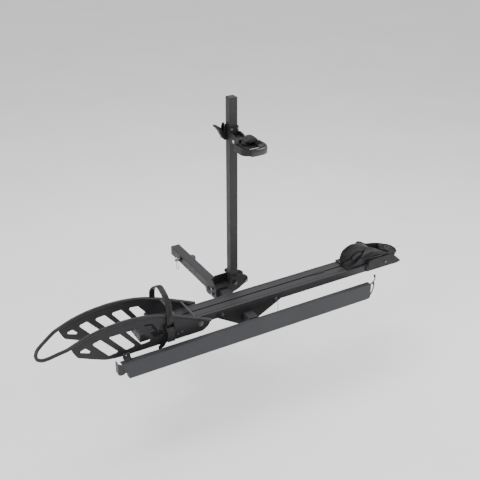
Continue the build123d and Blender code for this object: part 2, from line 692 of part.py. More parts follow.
# ---------------------------------------------------------------- front wheel strap
SX0, SX1 = -420.0, -392.0
yn, yf = TRAY_Y - BSK_H - BSK_T / 2, TRAY_Y + BSK_H + BSK_T / 2      # outer faces of the plates
rodn, rodf = TRAY_Y - BSK_H - ROD_R, TRAY_Y + BSK_H + ROD_R
STRAP = [(rodf + 3, 106), (rodf + 4, 178), (TRAY_Y + 50, 232), (TRAY_Y, 256), (TRAY_Y - 44, 244), (rodn - 3, 200), (rodn - 4, 118)]
with BuildPart() as fs:
    with BuildSketch(Plane.YZ.offset(SX0)):
        ribbon(STRAP, [0, 50, 60, 60, 60, 50, 0], -1.7, 1.7)
    extrude(amount=SX1 - SX0)
save(fs.part, "front_wheel_strap")

with BuildPart() as fa:
    with BuildSketch(XZ(yf + 5.6)):
        outline([(-424, 88), (-424, 122), (-388, 122), (-388, 88)], 5)
    extrude(amount=5.6)
    with BuildSketch(XZ(rodf + 4 + 1.7 + 4)):
        with Locations((-406, 112)):
            Circle(6)
    extrude(amount=4)
save(fa.part, "front_strap_anchor")

with BuildPart() as fb:
    with BuildSketch(XZ(yn)):
        outline([(-436, 72), (-436, 112), (-386, 112), (-386, 72)], 6)
    extrude(amount=4)
    for x in (-430.0, -391.0):
        with BuildSketch(Plane.YZ.offset(x)):
            outline([(yn - 4, 76), (yn - 4, 110), (yn - 16, 110), (yn - 26, 100), (yn - 26, 84), (yn - 16, 76)], [0.5, 2, 6, 6, 6, 6])
        extrude(amount=4)
    with BuildSketch(Plane.YZ.offset(-431)):
        with Locations((yn - 17, 92)):
            Circle(3.0)
    extrude(amount=45)
save(fb.part, "front_buckle_body")
slab("front_buckle_lever", Plane.YZ.offset(-424.4), 32.8,
     [(yn - 10, 98), (yn - 9.5, 84), (yn - 13, 56), (yn - 17, 28), (yn - 23, 27), (yn - 25, 54), (yn - 26, 88), (yn - 20, 100)],
     [5, 5, 14, 2.5, 3, 16, 10, 5], holes=[(yn - 17, 92, 3.08)])
with BuildPart() as ft:
    with BuildSketch(XZ(yn - 4.3)):
        outline([(-420, 116), (-392, 116), (-398, 66), (-436, 6), (-452, -4), (-466, -2), (-463, 10), (-424, 66)],
                [1, 1, 40, 8, 6, 4, 5, 40])
    extrude(amount=3.4)
save(ft.part, "front_strap_tail")

# ================================================================ rear wheel holder
rn, rf = TRAY_Y - hw, TRAY_Y + hw
with BuildPart() as sad:
    with BuildSketch(Plane.XY.offset(TRAY_TOP + 0.4)):
        with Locations((728, TRAY_Y)):
            RectangleRounded(280, TRAY_W + 13, 6)
        with Locations((780, TRAY_Y)):
            RectangleRounded(150, 66, 14, mode=Mode.SUBTRACT)
    extrude(amount=4)
    for y0 in (rn - 0.5, rf + 6.5):
        with BuildSketch(XZ(y0)):
            outline([(700, 37), (700, TRAY_TOP + 0.4), (868, TRAY_TOP + 0.4), (868, 37)], [6, 0, 0, 6])
        extrude(amount=6)
        with BuildSketch(XZ(y0)):
            outline([(690, TRAY_TOP + 4.4), (700, 92), (720, 98), (850, 98), (868, 90), (868, TRAY_TOP + 4.4)], [0, 8, 8, 8, 8, 0])
        extrude(amount=6)
save(sad.part, "rear_holder_saddle")

HOOD = [(577, 88), (582, 110), (600, 139), (634, 161), (672, 171), (708, 166), (742, 150)]
# near arm: leans in from the saddle's edge to the hood, with an arch under it
with BuildPart() as arch:
    with BuildSketch(Plane.YZ.offset(600)):
        ribbon([(TRAY_Y - 52, 80), (TRAY_Y - 52, 124), (TRAY_Y - 38, 156), (TRAY_Y - 34, 184)], [0, 30, 20, 0], -5, 0, end=1)
    extrude(amount=282)
    with BuildSketch(XZ(TRAY_Y - 10)):
        outline([(602, 80), (608, 88), (640, 106), (664, 124), (690, 146), (704, 160), (722, 165), (744, 155), (782, 138), (815, 118), (846, 103), (880, 98), (880, 80)],
                [2, 14, 30, 30, 20, 14, 14, 30, 60, 60, 30, 4, 0])
    extrude(amount=60, mode=Mode.INTERSECT)
    with BuildSketch(XZ(TRAY_Y - 10)):
        outline([(664, 120), (694, 131), (722, 135), (748, 132), (780, 118), (804, 100), (740, 107)], [2, 20, 40, 20, 30, 2, 60])
    extrude(amount=60, mode=Mode.SUBTRACT)
# moulded cradle: crowned hood with two cheeks, an arched arm on the near side,
# a low wall on the far side, and a bowl wall with its floor round the end
with BuildPart() as cradle:
    with BuildSketch(XZ(TRAY_Y + 36)):
        ribbon(HOOD, [0, 60, 60, 60, 60, 60, 0], -6, 0, end=1.5)
    extrude(amount=72)
    for y0 in (TRAY_Y - 30, TRAY_Y + 36):
        with BuildSketch(XZ(y0)):
            outline(shifted(HOOD, -5.0) + [(724, 134), (700, 116), (672, 100), (640, 93), (592, 91)], [1] + [54] * 5 + [2, 8, 30, 30, 20, 1])
        extrude(amount=6)
    # nose rounded in plan
    with BuildSketch(Plane.XY.offset(70)):
        outline([(574, TRAY_Y - 14), (590, TRAY_Y - 27), (632, TRAY_Y - 36), (760, TRAY_Y - 36), (760, TRAY_Y + 36), (632, TRAY_Y + 36),
                 (590, TRAY_Y + 27), (574, TRAY_Y + 14)], [10, 22, 40, 0, 0, 40, 22, 10])
    extrude(amount=130, mode=Mode.INTERSECT)
    add(arch.part)
    with BuildSketch(XZ(TRAY_Y + 50)):
        outline([(704, 110), (704, 146), (718, 158), (742, 149), (774, 128), (800, 124), (831, 118), (869, 107), (892, 96), (892, 80), (740, 80)],
                [8, 20, 8, 20, 30, 60, 60, 30, 3, 0, 20])
    extrude(amount=6)
    with BuildSketch(XZ(TRAY_Y + 60)):
        outline([(811, 88), (809, 95), (816, 99), (832, 97), (837, 90), (830, 87)], 3)
    extrude(amount=30, mode=Mode.SUBTRACT)
    with BuildSketch(XZ(TRAY_Y + 50)):
        outline([(700, 122), (706, 148), (718, 157), (742, 149), (744, 134), (728, 124)], [4, 10, 8, 8, 10, 8])
    extrude(amount=24)
    with BuildSketch(Plane.XY.offset(80)):
        ribbon([(872, TRAY_Y - 52), (896, TRAY_Y - 46), (908, TRAY_Y - 20), (908, TRAY_Y + 18), (900, TRAY_Y + 40), (884, TRAY_Y + 50)],
               [0, 16, 26, 26, 16, 0], 0, 6, end=0.5)
    extrude(amount=18)
    with BuildSketch(Plane.XY.offset(80)):
        outline([(862, TRAY_Y - 48), (894, TRAY_Y - 44), (906, TRAY_Y - 18), (906, TRAY_Y + 16), (898, TRAY_Y + 38), (884, TRAY_Y + 46), (862, TRAY_Y + 46),
                 (876, TRAY_Y + 26), (884, TRAY_Y), (876, TRAY_Y - 26)], [0.5, 14, 22, 22, 14, 2, 0.5, 20, 20, 20])
    extrude(amount=5)
save(cradle.part, "rear_cradle")

with BuildPart() as knob:
    with BuildSketch(XZ(rn - 6.5)):
        with Locations((716, 84)):
            Circle(17)
            with PolarLocations(17.5, 8):
                Circle(3.2, mode=Mode.SUBTRACT)
    extrude(amount=13)
save(knob.part, "rear_clamp_knob")
with BuildPart() as rb:
    with BuildSketch(XZ(rn - 6.5)):
        with Locations((819, 64)):
            Circle(5.5)
            RegularPolygon(2.8, 6, mode=Mode.SUBTRACT)
    extrude(amount=3.5)
    with BuildSketch(XZ(rf + 6.5 + 4)):
        with Locations((819, 64), (716, 62)):
            Circle(5.5)
            RegularPolygon(2.8, 6, mode=Mode.SUBTRACT)
    extrude(amount=4)
    with BuildSketch(Plane.XY.offset(TRAY_TOP - 14.8)):
        with Locations((640, TRAY_Y)):
            RectangleRounded(34, 15.6, 2)
    extrude(amount=5)
    with BuildSketch(Plane.XY.offset(TRAY_TOP - 9.8)):
        with Locations((640, TRAY_Y)):
            Circle(3.6)
    extrude(amount=10.2)
save(rb.part, "rear_holder_fasteners")

# buckle on the hood's near cheek with its lever
with BuildPart() as rbk:
    with BuildSketch(XZ(TRAY_Y - 36)):
        outline([(630, 134), (634, 150), (658, 157), (671, 151), (669, 139), (650, 131)], 4)
    extrude(amount=3)
    with BuildSketch(XZ(TRAY_Y - 36)):
        with Locations((662, 146)):
            Circle(3.0)
    extrude(amount=15)
save(rbk.part, "rear_buckle_body")
slab("rear_buckle_lever", XZ(TRAY_Y - 39.4), 11,
     [(668, 141), (668, 150), (658, 153), (638, 147), (616, 131), (614, 125), (621, 123), (642, 136), (660, 139.5)],
     [4, 5, 5, 14, 3, 3, 3, 14, 4], holes=[(662, 146, 3.08)])

# ================================================================ stowed ramp
with BuildPart() as ramp:
    with BuildSketch(Plane.YZ.offset(RAMP_L)):
        outline([(RAMP_Y, RAMP_LOW), (RAMP_Y, RAMP_TOP), (RAMP_Y + 30, RAMP_TOP), (RAMP_Y + 30, RAMP_TOP - 4), (RAMP_Y + 4, RAMP_TOP - 4),
                 (RAMP_Y + 4, RAMP_LOW + 4), (RAMP_Y + 30, RAMP_LOW + 4), (RAMP_Y + 30, RAMP_LOW)], [2.5, 2.5, 1, 1, 1.5, 1.5, 1, 1])
    extrude(amount=RAMP_R - RAMP_L)
    with BuildSketch(XZ(RAMP_Y + 60)):
        outline([(RAMP_L - 5, RAMP_TOP + 8), (RAMP_L - 0.01, RAMP_TOP + 4), (RAMP_L, RAMP_TOP), (RAMP_L + 29, RAMP_LOW), (RAMP_L + 29, RAMP_LOW - 5), (RAMP_L - 5, RAMP_LOW - 5)], 0)
        outline([(RAMP_R - 16, RAMP_LOW - 1), (RAMP_R + 1, RAMP_LOW - 1), (RAMP_R + 1, RAMP_LOW + 16), (RAMP_R - 4, RAMP_LOW + 5)], 0)
        with Locations((RAMP_L + 22, RAMP_LOW + 24)):
            Circle(4)
    extrude(amount=80, mode=Mode.SUBTRACT)
save(ramp.part, "loading_ramp")

with BuildPart() as foot:
    with BuildSketch(Plane.XY.offset(RAMP_LOW + 12)):
        ribbon([(RAMP_L + 44, RAMP_Y + 4), (RAMP_L + 6, RAMP_Y + 4), (RAMP_L - 11, RAMP_Y + 22), (RAMP_L - 11, RAMP_Y + 54)], [0, 8, 10, 0], -4, 0, end=1)
    extrude(amount=RAMP_TOP - RAMP_LOW - 20)
    with BuildSketch(XZ(RAMP_Y + 70)):
        outline([(RAMP_L - 20, RAMP_LOW), (RAMP_L - 20, RAMP_LOW + 18), (RAMP_L - 6, RAMP_LOW + 18), (RAMP_L + 14, RAMP_LOW + 34), (RAMP_L + 24, RAMP_LOW + 36),
                 (RAMP_L + 34, RAMP_LOW + 30), (RAMP_L + 60, RAMP_LOW + 30), (RAMP_L + 60, RAMP_LOW)], 0)
    extrude(amount=100, mode=Mode.SUBTRACT)
save(foot.part, "ramp_foot_plate")

HOOKS = (
    [(RAMP_R - 60, RAMP_Y + 14, 14.8), (RAMP_R + 9, RAMP_Y + 14, 14.8), (RAMP_R + 26, RAMP_Y + 14, 26), (RAMP_R + 33, RAMP_Y + 14, 38), (RAMP_R + 30, RAMP_Y + 14, 50)],
    [(RAMP_R - 60, RAMP_Y + 14, -52.8), (RAMP_R + 6, RAMP_Y + 14, -52.8), (RAMP_R + 20, RAMP_Y + 14, -34), (RAMP_R + 30, RAMP_Y + 14, 0), (RAMP_R + 27, RAMP_Y + 14, 8)],
)
with BuildPart() as hooks:
    for pts in HOOKS:
        with BuildSketch(Plane(origin=pts[0], z_dir=Vector(*pts[1]) - Vector(*pts[0]))):
            Circle(3)
        sweep(path=Wire(rounded(pts, [0, 12, 14, 6, 0], False)))
save(hooks.part, "ramp_end_hooks")
with BuildPart() as tips:
    for pts in HOOKS:
        b = Vector(*pts[-1])
        d = (b - Vector(*pts[-2])).normalized()
        with BuildSketch(Plane(origin=b, z_dir=d)):
            Circle(5.2)
        extrude(amount=11)
save(tips.part, "ramp_hook_tips")

with BuildPart() as tab:
    with BuildSketch(Plane.YZ.offset(-640)):
        ribbon([(RAMP_Y + 20, RAMP_TOP), (-696, RAMP_TOP), (-696, 46)], [0, 5, 0], 0, 4, end=1)
    extrude(amount=34)
    with BuildSketch(XZ(-680)):
        with Locations((-623, 38)):
            Circle(4.5)
    extrude(amount=30, mode=Mode.SUBTRACT)
save(tab.part, "ramp_steady_tab")
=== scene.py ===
import bpy, bmesh, math
from mathutils import Vector, Matrix


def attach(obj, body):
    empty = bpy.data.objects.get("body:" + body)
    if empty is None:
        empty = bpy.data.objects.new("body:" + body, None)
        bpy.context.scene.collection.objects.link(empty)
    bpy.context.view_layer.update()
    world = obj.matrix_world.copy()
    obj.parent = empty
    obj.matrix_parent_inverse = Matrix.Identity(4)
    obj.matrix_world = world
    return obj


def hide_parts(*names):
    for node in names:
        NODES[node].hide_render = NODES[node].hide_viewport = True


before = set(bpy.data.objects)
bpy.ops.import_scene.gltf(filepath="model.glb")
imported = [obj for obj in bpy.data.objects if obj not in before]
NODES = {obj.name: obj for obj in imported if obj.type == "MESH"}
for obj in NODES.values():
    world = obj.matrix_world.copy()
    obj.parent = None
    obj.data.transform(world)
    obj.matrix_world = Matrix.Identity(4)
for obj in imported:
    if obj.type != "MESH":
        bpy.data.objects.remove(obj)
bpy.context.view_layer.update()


# ------------------------------------------------------------------ materials
def new_mat(name):
    m = bpy.data.materials.new(name)
    m.use_nodes = True
    nt = m.node_tree
    for n in list(nt.nodes):
        nt.nodes.remove(n)
    out = nt.nodes.new("ShaderNodeOutputMaterial")
    b = nt.nodes.new("ShaderNodeBsdfPrincipled")
    nt.links.new(b.outputs[0], out.inputs[0])
    tc = nt.nodes.new("ShaderNodeTexCoord")
    return m, nt, b, tc.outputs["Object"]


def noise(nt, vec, scale, detail=4.0, rough=0.55, stretch=None):
    if stretch:
        mp = nt.nodes.new("ShaderNodeMapping")
        mp.inputs["Scale"].default_value = stretch
        nt.links.new(vec, mp.inputs["Vector"])
        vec = mp.outputs[0]
    n = nt.nodes.new("ShaderNodeTexNoise")
    n.inputs["Scale"].default_value = scale
    n.inputs["Detail"].default_value = detail
    n.inputs["Roughness"].default_value = rough
    nt.links.new(vec, n.inputs["Vector"])
    return n.outputs["Fac"]


def ramp(nt, fac, stops):
    r = nt.nodes.new("ShaderNodeValToRGB")
    e = r.color_ramp.elements
    e[0].position, e[0].color = stops[0][0], (*stops[0][1], 1)
    e[1].position, e[1].color = stops[-1][0], (*stops[-1][1], 1)
    for p, c in stops[1:-1]:
        q = e.new(p)
        q.color = (*c, 1)
    nt.links.new(fac, r.inputs[0])
    return r.outputs[0]


def maprange(nt, fac, a, b, c, d):
    r = nt.nodes.new("ShaderNodeMapRange")
    for i, v in zip(("From Min", "From Max", "To Min", "To Max"), (a, b, c, d)):
        r.inputs[i].default_value = v
    nt.links.new(fac, r.inputs["Value"])
    return r.outputs[0]


def add(nt, a, b, op="ADD", f=1.0):
    n = nt.nodes.new("ShaderNodeMath")
    n.operation = op
    nt.links.new(a, n.inputs[0])
    if isinstance(b, (int, float)):
        n.inputs[1].default_value = b
    else:
        nt.links.new(b, n.inputs[1])
    return n.outputs[0]


def bump(nt, bsdf, height, dist, strength=1.0):
    n = nt.nodes.new("ShaderNodeBump")
    n.inputs["Distance"].default_value = dist
    n.inputs["Strength"].default_value = strength
    nt.links.new(height, n.inputs["Height"])
    nt.links.new(n.outputs[0], bsdf.inputs["Normal"])


def mixcol(nt, fac, a, b):
    n = nt.nodes.new("ShaderNodeMix")
    n.data_type = "RGBA"
    nt.links.new(fac, n.inputs["Factor"])
    for i, v in (("A", a), ("B", b)):
        s = [k for k in n.inputs if k.name == i and k.type == "RGBA"][0]
        if isinstance(v, tuple):
            s.default_value = (*v, 1)
        else:
            nt.links.new(v, s)
    return [o for o in n.outputs if o.type == "RGBA"][0]


# Convex-edge mask from pointiness, used to paint edges lighter: a painted edge highlight that also stands for rubbed
# wear.
def painted_edge_highlight_and_wear(nt, lo, hi):
    g = nt.nodes.new("ShaderNodeNewGeometry")
    return maprange(nt, g.outputs["Pointiness"], lo, hi, 0.0, 1.0)


def coat(name, c, rough=0.42, peel=900.0, edge_sheen_and_rub_amount=0.35):
    """Satin powder coat: fine orange peel, faint cloudiness, dust, and lighter convex edges that are a painted edge
    highlight as well as rubbed wear.
    """
    m, nt, b, v = new_mat(name)
    cloud = noise(nt, v, 9.0, 5.0)
    base = ramp(nt, cloud, [(0.3, tuple(x * 0.86 for x in c)), (0.55, c), (0.75, tuple(x * 1.16 for x in c))])
    dust = noise(nt, v, 60.0, 8.0, 0.7)
    base = mixcol(nt, maprange(nt, dust, 0.56, 0.8, 0.0, 0.22), base, tuple(min(1, x * 1.9 + 0.004) for x in c))
    # lighter convex edges: painted edge highlight plus rubbed edge wear
    base = mixcol(nt, add(nt, painted_edge_highlight_and_wear(nt, 0.515, 0.60), edge_sheen_and_rub_amount, "MULTIPLY"), base, tuple(min(1, x * 2.6 + 0.006) for x in c))
    nt.links.new(base, b.inputs["Base Color"])
    r = noise(nt, v, 34.0, 6.0)
    nt.links.new(maprange(nt, r, 0.3, 0.7, rough - 0.06, rough + 0.10), b.inputs["Roughness"])
    b.inputs["Specular IOR Level"].default_value = 0.27
    h = add(nt, noise(nt, v, peel, 2.0), add(nt, noise(nt, v, 220.0, 3.0), 0.35, "MULTIPLY"))
    bump(nt, b, h, 0.00012, 0.55)
    return m


def anodised(name, c, rough=0.38, axis="X"):
    """Black anodised extrusion: fine die lines along its length."""
    m, nt, b, v = new_mat(name)
    st = (1.2, 60.0, 60.0) if axis == "X" else (60.0, 60.0, 1.2)
    lines = noise(nt, v, 18.0, 6.0, 0.7, st)
    base = ramp(nt, lines, [(0.3, tuple(x * 0.84 for x in c)), (0.5, c), (0.72, tuple(x * 1.2 for x in c))])
    sm = noise(nt, v, 5.0, 4.0)
    base = mixcol(nt, maprange(nt, sm, 0.45, 0.8, 0.0, 0.35), base, tuple(x * 1.35 for x in c))
    nt.links.new(base, b.inputs["Base Color"])
    b.inputs["Metallic"].default_value = 0.25
    b.inputs["Specular IOR Level"].default_value = 0.32
    nt.links.new(maprange(nt, lines, 0.3, 0.7, rough - 0.05, rough + 0.10), b.inputs["Roughness"])
    bump(nt, b, add(nt, lines, add(nt, noise(nt, v, 1100.0, 2.0), 0.4, "MULTIPLY")), 0.00008, 0.5)
    return m


def steel(name, c, rough=0.34, metal=0.9):
    """Dark zinc plate: mottled passivation, small scratches, and convex edges painted lighter as a painted edge
    highlight plus rubbed wear.
    """
    m, nt, b, v = new_mat(name)
    n1 = noise(nt, v, 70.0, 6.0)
    base = ramp(nt, n1, [(0.3, tuple(x * 0.7 for x in c)), (0.52, c), (0.75, tuple(min(1, x * 1.4) for x in c))])
    # lighter convex edges: painted edge highlight plus rubbed edge wear
    base = mixcol(nt, painted_edge_highlight_and_wear(nt, 0.52, 0.62), base, tuple(min(1, x * 2.2) for x in c))
    nt.links.new(base, b.inputs["Base Color"])
    b.inputs["Metallic"].default_value = metal
    nt.links.new(maprange(nt, n1, 0.3, 0.7, rough - 0.1, rough + 0.14), b.inputs["Roughness"])
    bump(nt, b, noise(nt, v, 500.0, 4.0, 0.6, (1, 6, 1)), 0.00005, 0.5)
    return m


def plastic(name, c, rough=0.5, grain=1500.0, depth=0.00016):
    """Glass-filled moulded plastic with a spark-eroded grain; convex edges are painted lighter as a painted edge
    highlight plus rubbed wear.
    """
    m, nt, b, v = new_mat(name)
    vo = nt.nodes.new("ShaderNodeTexVoronoi")
    vo.inputs["Scale"].default_value = grain
    nt.links.new(v, vo.inputs["Vector"])
    cl = noise(nt, v, 22.0, 5.0)
    base = ramp(nt, cl, [(0.3, tuple(x * 0.85 for x in c)), (0.55, c), (0.78, tuple(x * 1.25 for x in c))])
    # lighter convex edges: painted edge highlight plus rubbed edge wear
    base = mixcol(nt, add(nt, painted_edge_highlight_and_wear(nt, 0.515, 0.6), 0.4, "MULTIPLY"), base, tuple(min(1, x * 2.4 + 0.004) for x in c))
    nt.links.new(base, b.inputs["Base Color"])
    nt.links.new(maprange(nt, noise(nt, v, 45.0, 5.0), 0.3, 0.7, rough - 0.08, rough + 0.1), b.inputs["Roughness"])
    b.inputs["Specular IOR Level"].default_value = 0.3
    bump(nt, b, add(nt, vo.outputs["Distance"], noise(nt, v, 400.0, 3.0)), depth, 0.5)
    return m


def rubber(name, c, rough=0.55, gloss=0.0):
    m, nt, b, v = new_mat(name)
    cl = noise(nt, v, 30.0, 6.0)
    base = ramp(nt, cl, [(0.3, tuple(x * 0.8 for x in c)), (0.55, c), (0.8, tuple(x * 1.4 for x in c))])
    nt.links.new(base, b.inputs["Base Color"])
    nt.links.new(maprange(nt, noise(nt, v, 60.0, 6.0), 0.3, 0.7, rough - 0.06, rough + 0.1), b.inputs["Roughness"])
    b.inputs["Specular IOR Level"].default_value = 0.35
    if gloss:
        b.inputs["Coat Weight"].default_value = gloss
        b.inputs["Coat Roughness"].default_value = 0.12
    bump(nt, b, noise(nt, v, 700.0, 3.0), 0.00008, 0.4)
    return m


M = {
    "coat": coat("powder_coat", (0.017, 0.017, 0.019)),
    "coat_dark": coat("powder_coat_dark", (0.006, 0.006, 0.0065), rough=0.48),
    "mast": coat("mast_coat", (0.015, 0.015, 0.016), rough=0.42),
    "plate": coat("basket_coat", (0.010, 0.010, 0.011), rough=0.45),
    "rod": coat("rod_coat", (0.019, 0.019, 0.021), rough=0.34),
    "alu": anodised("anodised_tray", (0.032, 0.031, 0.035)),
    "ramp": anodised("anodised_ramp", (0.036, 0.037, 0.041)),
    "zinc": steel("dark_zinc", (0.085, 0.085, 0.088)),
    "bright": steel("bright_zinc", (0.55, 0.55, 0.56), rough=0.24, metal=1.0),
    "plastic": plastic("moulded_plastic", (0.007, 0.007, 0.008)),
    "plastic_hood": plastic("hood_plastic", (0.010, 0.010, 0.011), rough=0.44),
    "rubber": rubber("black_rubber", (0.009, 0.009, 0.010)),
    "strap": rubber("strap_rubber", (0.008, 0.008, 0.009), rough=0.42),
    "gloss": rubber("glossy_rubber", (0.007, 0.0075, 0.009), rough=0.24, gloss=0.6),
}

COAT = "receiver_shank ramp_foot_plate ramp_steady_tab ramp_carrier_bracket spine_tube front_strap_anchor"
DARK = "tray_bracket_front tray_bracket_rear yoke_plate_left yoke_plate_right spine_block mast_bracket_rear mast_bracket_front clamp_collar clamp_cam_ears clamp_arm"
ZINC = "hitch_pin carrier_bolts mast_pivot_bolt tray_bracket_bolts basket_pivot_bolt basket_plate_bolts rear_holder_fasteners tilt_lock_pin mast_lock_pin tilt_pivot_bolt ramp_end_hooks ramp_wire_hook"
LOOK = {}
LOOK.update({n: "coat" for n in COAT.split()})
LOOK.update({n: "coat_dark" for n in DARK.split()})
LOOK.update({n: "zinc" for n in ZINC.split()})
LOOK.update({
    "hitch_pin_clip": "bright", "clamp_arm_bolts": "bright", "mast_tube": "mast", "basket_plate_near": "plate", "basket_plate_far": "plate",
    "basket_rim_rod": "rod", "basket_cross_bars": "rod", "wheel_tray": "alu", "t_slot_stop": "plastic", "loading_ramp": "ramp",
    "clamp_hook_sleeve": "gloss", "clamp_hook_strap": "strap", "ramp_hook_tips": "rubber", "front_wheel_strap": "strap", "front_strap_tail": "strap",
    "rear_cradle": "plastic_hood",
})
BEVEL = {"wheel_tray": 0.0006, "loading_ramp": 0.0009, "receiver_shank": 0.0008, "mast_tube": 0.0008}
for n, o in NODES.items():
    mt = M[LOOK.get(n, "plastic")]
    if o.data.materials:
        for i in range(len(o.data.materials)):
            o.data.materials[i] = mt
    else:
        o.data.materials.append(mt)
    bv = o.modifiers.new("edge", "BEVEL")
    bv.width = BEVEL.get(n, 0.0008)
    bv.segments = 2
    bv.limit_method = "ANGLE"
    bv.angle_limit = math.radians(38)
    bv.use_clamp_overlap = True
    bv.harden_normals = False

# ------------------------------------------------------------------ modelled pieces
def lerp(a, b, t):
    return a + (b - a) * t


def catmull(pts, n):
    """n points evenly spaced by length along a smooth curve through pts."""
    P = [Vector(p) for p in pts]
    P = [P[0] * 2 - P[1]] + P + [P[-1] * 2 - P[-2]]
    fine = []
    for i in range(1, len(P) - 2):
        a, b, c, d = P[i - 1], P[i], P[i + 1], P[i + 2]
        for k in range(24):
            t = k / 24
            fine.append(0.5 * ((2 * b) + (c - a) * t + (2 * a - 5 * b + 4 * c - d) * t * t + (3 * b - a - 3 * c + d) * t ** 3))
    fine.append(P[-2])
    L = [0.0]
    for p, q in zip(fine, fine[1:]):
        L.append(L[-1] + (q - p).length)
    out, j = [], 0
    for i in range(n):
        s = L[-1] * i / (n - 1)
        while j < len(L) - 2 and L[j + 1] < s:
            j += 1
        t = 0 if L[j + 1] == L[j] else (s - L[j]) / (L[j + 1] - L[j])
        out.append(fine[j].lerp(fine[j + 1], min(1, max(0, t))))
    return out


def along(xs, x):
    """Piecewise-linear value at x in a list of (x, value)."""
    if x <= xs[0][0]:
        return xs[0][1]
    for (a, va), (b, vb) in zip(xs, xs[1:]):
        if x <= b:
            return lerp(va, vb, (x - a) / (b - a))
    return xs[-1][1]


def smooth(a, b, x):
    t = min(1.0, max(0.0, (x - a) / (b - a)))
    return t * t * (3 - 2 * t)


def sheet_mesh(bm, rows, closed=False):
    """Adds a grid of points (millimetres) to bm."""
    V = [[bm.verts.new(Vector(p) * 0.001) for p in r] for r in rows]
    for i in range(len(V) - 1):
        m = len(V[i])
        for j in range(m if closed else m - 1):
            k = (j + 1) % m
            bm.faces.new((V[i][j], V[i][k], V[i + 1][k], V[i + 1][j]))
    return V


def finish(bm, name, mat, body, nodes, thick=0.0, bevel=0.0006, merge=0.00002, sharp=40, offset=-1.0, sub=0):
    bmesh.ops.remove_doubles(bm, verts=bm.verts, dist=merge)
    bmesh.ops.recalc_face_normals(bm, faces=bm.faces)
    me = bpy.data.meshes.new(name)
    bm.to_mesh(me)
    bm.free()
    o = bpy.data.objects.new(name, me)
    bpy.context.scene.collection.objects.link(o)
    me.materials.append(mat)
    for p in me.polygons:
        p.use_smooth = True
    if sub:
        s = o.modifiers.new("sub", "SUBSURF")
        s.levels = s.render_levels = sub
    if thick:
        s = o.modifiers.new("wall", "SOLIDIFY")
        s.thickness = thick
        s.offset = offset
        s.use_even_offset = True
    if bevel:
        b = o.modifiers.new("edge", "BEVEL")
        b.width = bevel
        b.segments = 2
        b.limit_method = "ANGLE"
        b.angle_limit = math.radians(sharp)
    w = o.modifiers.new("normals", "EDGE_SPLIT")
    w.split_angle = math.radians(sharp)
    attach(o, body)
    if nodes:
        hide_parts(*nodes)
    return o


TY = -588.0


def tube_rows(path, r, n=12, flat=1.0):
    """Rings of a swept round section."""
    rows, up = [], Vector((0, 0, 1))
    for i, p in enumerate(path):
        a = path[max(0, i - 1)]
        b = path[min(len(path) - 1, i + 1)]
        t = (b - a).normalized()
        if abs(t.dot(up)) > 0.98:
            up = Vector((0, 1, 0))
        s = t.cross(up).normalized()
        u = s.cross(t).normalized()
        rr = r(i / (len(path) - 1)) if callable(r) else r
        rows.append([p + s * math.cos(2 * math.pi * k / n) * rr + u * math.sin(2 * math.pi * k / n) * rr * flat for k in range(n)])
    return rows


def cap(bm, ring):
    bm.faces.new(ring)


# ladder strap over the front wheel: closed rectangular section, teeth on the outside
def ladder(name, path3, side, width, thick, mat, body, nodes, pitch=4.2, tooth=1.1, border=4.5, plain=0.0):
    n = int(sum((b - a).length for a, b in zip(path3, path3[1:])) / 0.7)
    P = catmull(path3, n)
    step = sum((b - a).length for a, b in zip(P, P[1:])) / (n - 1)
    bm = bmesh.new()
    sv = Vector(side).normalized()
    cols = [-0.5 * width, -0.5 * width + 0.8, -0.5 * width + border, -0.5 * width + border + 0.8, 0, 0.5 * width - border - 0.8, 0.5 * width - border, 0.5 * width - 0.8, 0.5 * width]
    rows = []
    for i, p in enumerate(P):
        t = (P[min(n - 1, i + 1)] - P[max(0, i - 1)]).normalized()
        out = t.cross(sv).normalized()
        s = i * step
        ph = (s % pitch) / pitch
        h = tooth * (smooth(0.0, 0.16, ph) - smooth(0.46, 0.62, ph))
        if s < plain or s > (n - 1) * step - plain:
            h = 0
        ring = []
        for j, c in enumerate(cols):
            edge = 0.5 if j in (0, 8) else 0.0
            k = h if 3 <= j <= 5 else 0.0
            ring.append(p + sv * c + out * (thick / 2 - 0.25 - edge + k))
        for j, c in reversed(list(enumerate(cols))):
            edge = 0.5 if j in (0, 8) else 0.0
            ring.append(p + sv * c - out * (thick / 2 - edge))
        rows.append(ring)
    V = sheet_mesh(bm, rows, closed=True)
    cap(bm, V[0][::-1])
    cap(bm, V[-1])
    return finish(bm, name, mat, body, nodes, bevel=0, sharp=35)


yn, yf = TY - 82.5, TY + 82.5
rodn, rodf = TY - 88, TY + 88
SP = [(rodf + 3.2, 106), (rodf + 4.4, 150), (rodf - 2, 190), (TY + 62, 220), (TY + 34, 240), (TY + 4, 252.5), (TY - 26, 247), (TY - 56, 232), (rodn + 4, 208), (rodn - 2.4, 184), (rodn - 4, 150), (rodn - 4, 118)]
ladder("front_strap_ladder", [Vector((-406, y, z)) for y, z in SP], (1, 0, 0), 27.6, 3.2, M["strap"], "basket", ["front_wheel_strap"], plain=6)

